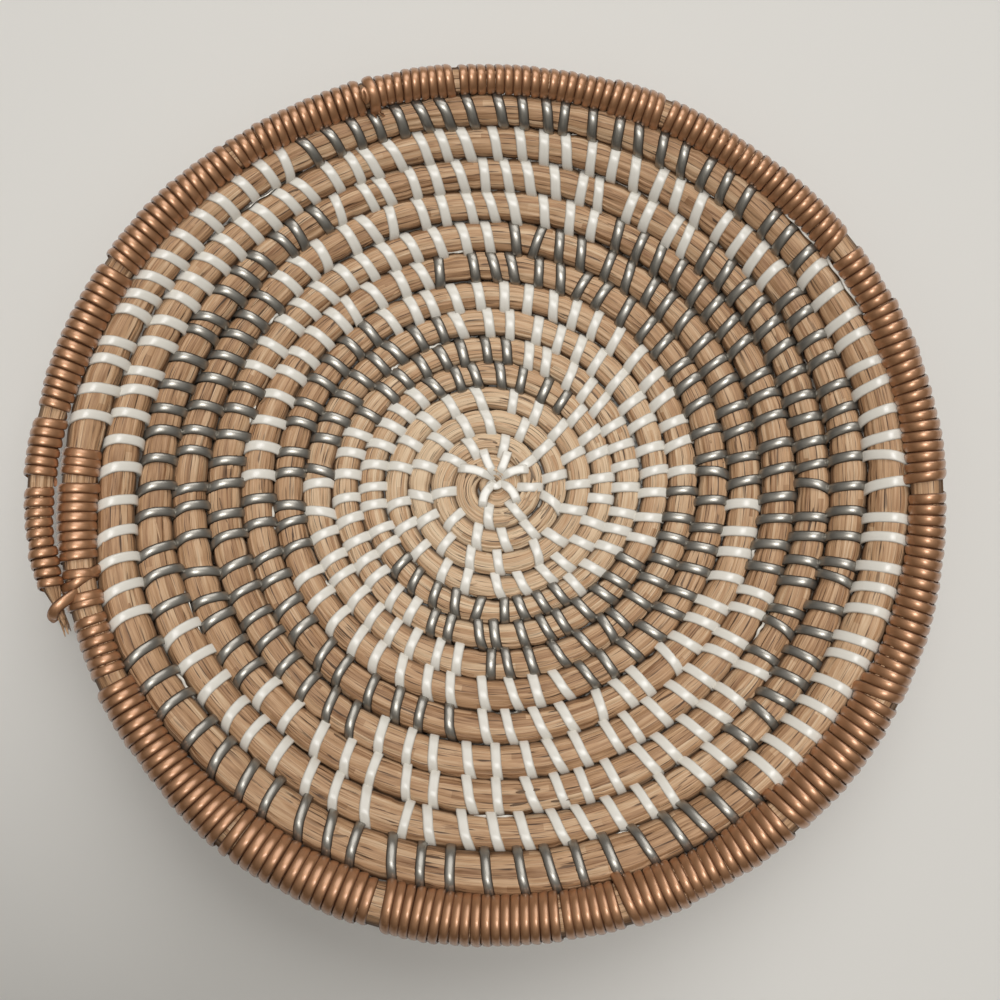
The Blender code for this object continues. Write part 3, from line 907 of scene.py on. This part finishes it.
def make_wrap(coil, settings, number, random):
    """One length of close wrapping round the rim, loop against loop, with its bare spots."""
    parts = MeshParts()
    for (here, bare, reach), (after, next_bare, next_reach) in zip(BARE_SPOTS, BARE_SPOTS[1:]):
        middle = 0.5 * (here + after)
        if not WRAP_ENDS[number - 1] <= middle < WRAP_ENDS[number]:
            continue
        width = np.interp(middle, *rows_of(LOOP_WIDTHS)) * settings.width_share
        start = coil.length_at(here) + 0.5 * (bare + width)
        end = coil.length_at(after) - 0.5 * (next_bare + width)
        count = max(1, round((end - start + width) / (0.97 * width)))
        pitch = (end - start) / max(1, count - 1)
        loops = np.linspace(0.0, count, count * POINTS_PER_STITCH + 1)
        share = loops - np.floor(loops)
        along = pitch * (np.floor(loops) + np.clip(2.0 * share - 1.0, 0.0, 1.0))
        lengths = start + along + wander(random, loops, 1.7, 0.16 * MM)
        leaning = wander(random, loops, 5.0, 0.5 * MM) + 0.9 * reach * np.clip(1.0 - loops / 3.0, 0.0, 1.0)
        slant = leaning * (2.0 * np.clip(2.0 * share, 0.0, 1.0) - 1.0)
        turns = coil.turn_at(lengths + slant)
        side, top = coil.half_axes(turns)
        inner = reach * np.clip(1.4 - loops, 0.0, 1.0)
        across, above, out_across, out_above = section_point(math.pi - math.tau * share, side, top, inner)
        proud = wander(random, loops, 0.8, 0.14 * MM)
        runs = ((loops + 0.25) / 6.0).astype(int)
        proud = proud + random.uniform(-0.45, 0.32, runs.max() + 1)[runs] * MM
        points = coil.place(turns, across + out_across * proud, above + out_above * proud)
        normals = (
            coil.read(coil.outward, turns) * out_across[:, None]
            + coil.read(coil.upward, turns) * out_above[:, None]
        )
        sweep_cord(parts, points, normals, width, settings.thickness, 0.88, 0.20, 0.45)
    for owner, width, places in LOOSE_LOOPS:
        if owner == number:
            course = [(turn, across * MM, above * MM) for turn, across, above in places]
            loose_cord(coil, parts, course, width * MM * settings.width_share, settings.thickness, 0.88, 0.20)
    return parts


# Sewing cord that runs on along a groove between rows: its colour, where it starts and ends in
# turns, and how far out it lies, as a share of the row's half width
STRANDS = (
    ("white", 11.083, 11.098, 1.08), ("white", 6.080, 6.096, 1.08), ("white", 7.012, 7.032, 1.06),
    ("white", 4.806, 4.826, 0.95), ("white", 4.854, 4.868, 0.95), ("white", 8.887, 8.902, 1.05),
    ("white", 7.944, 7.962, 1.08), ("white", 10.236, 10.262, 1.08), ("white", 9.415, 9.431, 1.05),
    ("white", 8.456, 8.469, 1.05), ("white", 12.598, 12.622, 1.06), ("white", 12.571, 12.596, 1.06),
    ("white", 7.763, 7.789, 1.06), ("grey", 11.845, 11.870, 1.04), ("grey", 10.045, 10.080, 1.08),
    ("grey", 11.298, 11.318, 1.05), ("grey", 7.248, 7.272, 1.08), ("grey", 8.699, 8.709, 1.05),
)


def add_strands(coil, settings, parts, name):
    """Adds the strands that run on from a strip, to the strip of their colour nearest to them."""
    starts = (SEWING_START,) + STRIP_ENDS[:-1]
    for colour, first_turn, last_turn, share in STRANDS:
        owners = [index for index in range(len(STRIP_ENDS)) if ("white", "grey")[index % 2] == colour]
        nearest = min(owners, key=lambda index: abs(0.5 * (starts[index] + STRIP_ENDS[index]) - first_turn))
        if f"{colour}_strip_{nearest // 2 + 1:02d}" != name:
            continue
        turns = np.linspace(first_turn, last_turn, 6)
        side, top = coil.half_axes(turns)
        rise = top * np.array((0.10, 0.46, 0.62, 0.52, 0.60, 0.10))
        out = side * share + np.array((0.0, 0.1, -0.15, 0.15, -0.1, 0.0)) * MM
        loose_cord(coil, parts, np.stack((turns, out, rise), axis=1), 0.9 * MM, 0.5 * MM, 0.8)


# The hole in the eye of the coil, and the strips that come up through it: how far their ends
# lie from it, and how far they bow to the left on the way
EYE_PLACE = (1.1 * MM, 2.1 * MM)
EYE_STRIPS = (
    (-4.3 * MM, 9.3 * MM, 0.3 * MM), (3.4 * MM, 9.0 * MM, -0.2 * MM), (-11.6 * MM, 3.6 * MM, -0.9 * MM),
    (9.9 * MM, 3.3 * MM, 1.0 * MM), (6.2 * MM, -7.0 * MM, 1.2 * MM), (-4.4 * MM, -8.2 * MM, -1.2 * MM),
)


def make_eye(coil, settings, parts):
    """Strips from the hole in the middle out over the first turn."""
    hole = np.array(SPIRAL_MIDDLE) + (EYE_PLACE[0], EYE_PLACE[1], 0.0)
    for index, (reach_x, reach_y, bow) in enumerate(EYE_STRIPS):
        shares = np.linspace(0.0, 1.0, 16)
        way = np.array((reach_x, reach_y, 0.0))
        left = np.array((-reach_y, reach_x, 0.0)) / math.hypot(reach_x, reach_y)
        points = hole + way * (0.10 + 0.90 * shares)[:, None] + left * (bow * np.sin(math.pi * shares))[:, None]
        rise = 1.0 - np.clip(1.0 - shares / 0.35, 0.0, 1.0) ** 2
        fall = np.clip((shares - 0.86) / 0.14, 0.0, 1.0) ** 2
        points[:, 2] = (3.9 + 2.15 * rise - 1.4 * fall + 0.05 * index) * MM
        normals = np.tile((0.0, 0.0, 1.0), (len(points), 1))
        width = settings.width * (0.62 + 0.30 * np.clip(shares / 0.3, 0.0, 1.0))
        sweep_cord(parts, points, normals, width, settings.thickness * 0.6, 0.55)
    shares = np.linspace(-1.0, 1.0, 12)
    knot = hole + np.stack(
        (2.0 * MM * shares - 0.4 * MM, 1.2 * MM * shares**2 - 1.9 * MM, 5.7 * MM - 1.3 * MM * shares**4), axis=1
    )
    sweep_cord(parts, knot, np.tile((0.0, 0.0, 1.0), (len(knot), 1)), 2.3 * MM, 0.4 * MM, 0.6)


class BASKET_OT_stage(bpy.types.Operator):
    """Makes the pale floor, the soft lights and the camera over the basket"""

    bl_idname = "basket.stage"
    bl_label = "Stage"

    def execute(self, context):
        settings = context.scene.basket_stage
        scene = context.scene
        material, tree, surface = new_material("painted_board_floor")
        surface.inputs["Base Color"].default_value = (*settings.floor, 1.0)
        surface.inputs["Roughness"].default_value = 0.75
        bpy.ops.mesh.primitive_plane_add(size=6.0, location=(0.0, 0.0, -0.0001))
        floor = context.object
        floor.name = "floor"
        floor.data.materials.append(material)

        world = bpy.data.worlds.new("studio")
        scene.world = world
        world.use_nodes = True
        background = world.node_tree.nodes["Background"]
        background.inputs["Strength"].default_value = settings.sky_strength
        tree = world.node_tree
        way = add_node(tree, "ShaderNodeTexCoord").outputs["Generated"]
        height = add_node(
            tree, "ShaderNodeVectorMath", [(0, way)], operation="DOT_PRODUCT", _1=(0.08, 0.26, 0.96)
        ).outputs["Value"]
        sky = colour_ramp(tree, height, ((0.0, srgb("#3c3b39")), (0.45, srgb("#8b8a88")), (0.9, srgb("#fffefc"))))
        tree.links.new(sky, background.inputs["Color"])

        for name, power, size, place in (
            ("window", settings.window_power, 1.9, (0.44, 1.64, 1.70)),
            ("ceiling", settings.ceiling_power, 0.50, (0.0, 0.05, 1.30)),
            ("lamp", settings.lamp_power, 0.065, (0.04, 0.02, 0.60)),
        ):
            light = bpy.data.lights.new(name, "AREA")
            light.shape = "DISK"
            light.size = size
            light.energy = power
            holder = bpy.data.objects.new(name, light)
            holder.location = place
            holder.rotation_euler = Vector(place).to_track_quat("Z", "Y").to_euler()
            scene.collection.objects.link(holder)

        bpy.ops.mesh.primitive_plane_add(size=1.0, location=(-0.09, -0.56, 0.36))
        card = context.object
        card.name = "shading_card"
        card.scale = (0.18, 1.0, 1.0)
        card.data.materials.append(material)

        camera = bpy.data.cameras.new("camera")
        camera.angle = CAMERA_FIELD
        camera.clip_start = 0.01
        pixel = 2.0 * CAMERA_HEIGHT * math.tan(0.5 * CAMERA_FIELD) / PHOTO_PIXELS
        holder = bpy.data.objects.new("camera", camera)
        holder.location = (
            SPIRAL_MIDDLE.x - (SPIRAL_MIDDLE_PX[0] - 0.5 * PHOTO_PIXELS) * pixel,
            SPIRAL_MIDDLE.y + (SPIRAL_MIDDLE_PX[1] - 0.5 * PHOTO_PIXELS) * pixel,
            CAMERA_HEIGHT,
        )
        scene.collection.objects.link(holder)
        scene.camera = holder
        scene.view_settings.view_transform = "Standard"
        return {"FINISHED"}


class BASKET_OT_grass(bpy.types.Operator):
    """Makes the grass bundle with its blades and splits"""

    bl_idname = "basket.grass"
    bl_label = "Grass bundle"

    def execute(self, context):
        settings = context.scene.basket_grass
        coil = Coil()
        stitches = [places for name, colour, places in all_stitches(coil)]
        material = grass_material(settings, coil.length_at(1.5), coil.length_at(7.0))
        bundle = make_grass(coil, settings, stitches).build("grass_bundle", material)
        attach(bundle, "root")
        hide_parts("grass_coil")
        return {"FINISHED"}


class BASKET_OT_strips(bpy.types.Operator):
    """Makes the white and grey sewing strips"""

    bl_idname = "basket.strips"
    bl_label = "Sewing strips"

    def execute(self, context):
        settings = context.scene.basket_strips
        coil = Coil()
        random = np.random.default_rng(23)
        # Each cord's second colour is painted shade along its edges, with a little dirt; the last number, where
        # given, is how strongly it is laid on
        materials = {
            "white": cord_material(
                "white_extruded_plastic", settings.white, srgb("#978e7e"), 0.0, 0.27, 0.10
            ),
            "grey": cord_material(
                "pewter_metallised_plastic", settings.grey, srgb("#261c12"), 0.75, 0.34, 0.25, 1.0, 0.90
            ),
        }
        for name, colour, places in all_stitches(coil):
            roundness = 0.55 if colour == "white" else 0.95
            parts = make_strip(coil, settings, places, roundness, random)
            add_strands(coil, settings, parts, name)
            if name == "white_strip_01":
                make_eye(coil, settings, parts)
            strip = parts.build(name.replace("strip", "stitching"), materials[colour], math.radians(50))
            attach(strip, "root")
            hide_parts(name)
        return {"FINISHED"}


class BASKET_OT_rim(bpy.types.Operator):
    """Makes the copper wrapping of the rim"""

    bl_idname = "basket.rim"
    bl_label = "Rim wrapping"

    def execute(self, context):
        settings = context.scene.basket_rim
        coil = Coil()
        random = np.random.default_rng(31)
        # The dark brown second colour is painted shade along the edges of each loop, with a little dirt
        copper = cord_material(
            "copper_metallised_plastic", settings.copper, srgb("#3a1507"), 0.64, 0.40, 0.22, 1.0, 0.72
        )
        for number in range(1, len(WRAP_ENDS)):
            parts = make_wrap(coil, settings, number, random)
            wrap = parts.build(f"rim_wrapping_{number:02d}", copper, math.radians(50))
            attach(wrap, "root")
            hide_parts(f"copper_wrap_{number:02d}")
        return {"FINISHED"}


class BASKET_PT_panel(bpy.types.Panel):
    """Lists the basket's pieces"""

    bl_idname = "BASKET_PT_panel"
    bl_label = "Coiled basket"
    bl_space_type = "VIEW_3D"
    bl_region_type = "UI"
    bl_category = "Basket"

    def draw(self, context):
        layout = self.layout
        for operator in OPERATORS:
            layout.operator(operator.bl_idname)
        for name in ("basket_grass", "basket_strips", "basket_rim", "basket_stage"):
            box = layout.box()
            group = getattr(context.scene, name)
            for key in group.bl_rna.properties.keys():
                if key not in {"rna_type", "name"}:
                    box.prop(group, key)


OPERATORS = (BASKET_OT_stage, BASKET_OT_grass, BASKET_OT_strips, BASKET_OT_rim)
GROUPS = {
    "basket_grass": GrassSettings,
    "basket_strips": StripSettings,
    "basket_rim": RimSettings,
    "basket_stage": StageSettings,
}


def register():
    for item in (*GROUPS.values(), *OPERATORS, BASKET_PT_panel):
        bpy.utils.register_class(item)
    for name, group in GROUPS.items():
        setattr(bpy.types.Scene, name, PointerProperty(type=group))


def unregister():
    for name in GROUPS:
        delattr(bpy.types.Scene, name)
    for item in reversed((*GROUPS.values(), *OPERATORS, BASKET_PT_panel)):
        bpy.utils.unregister_class(item)


def main():
    register()
    bpy.ops.basket.stage()
    bpy.ops.basket.grass()
    bpy.ops.basket.strips()
    bpy.ops.basket.rim()


if __name__ == "__main__":
    main()
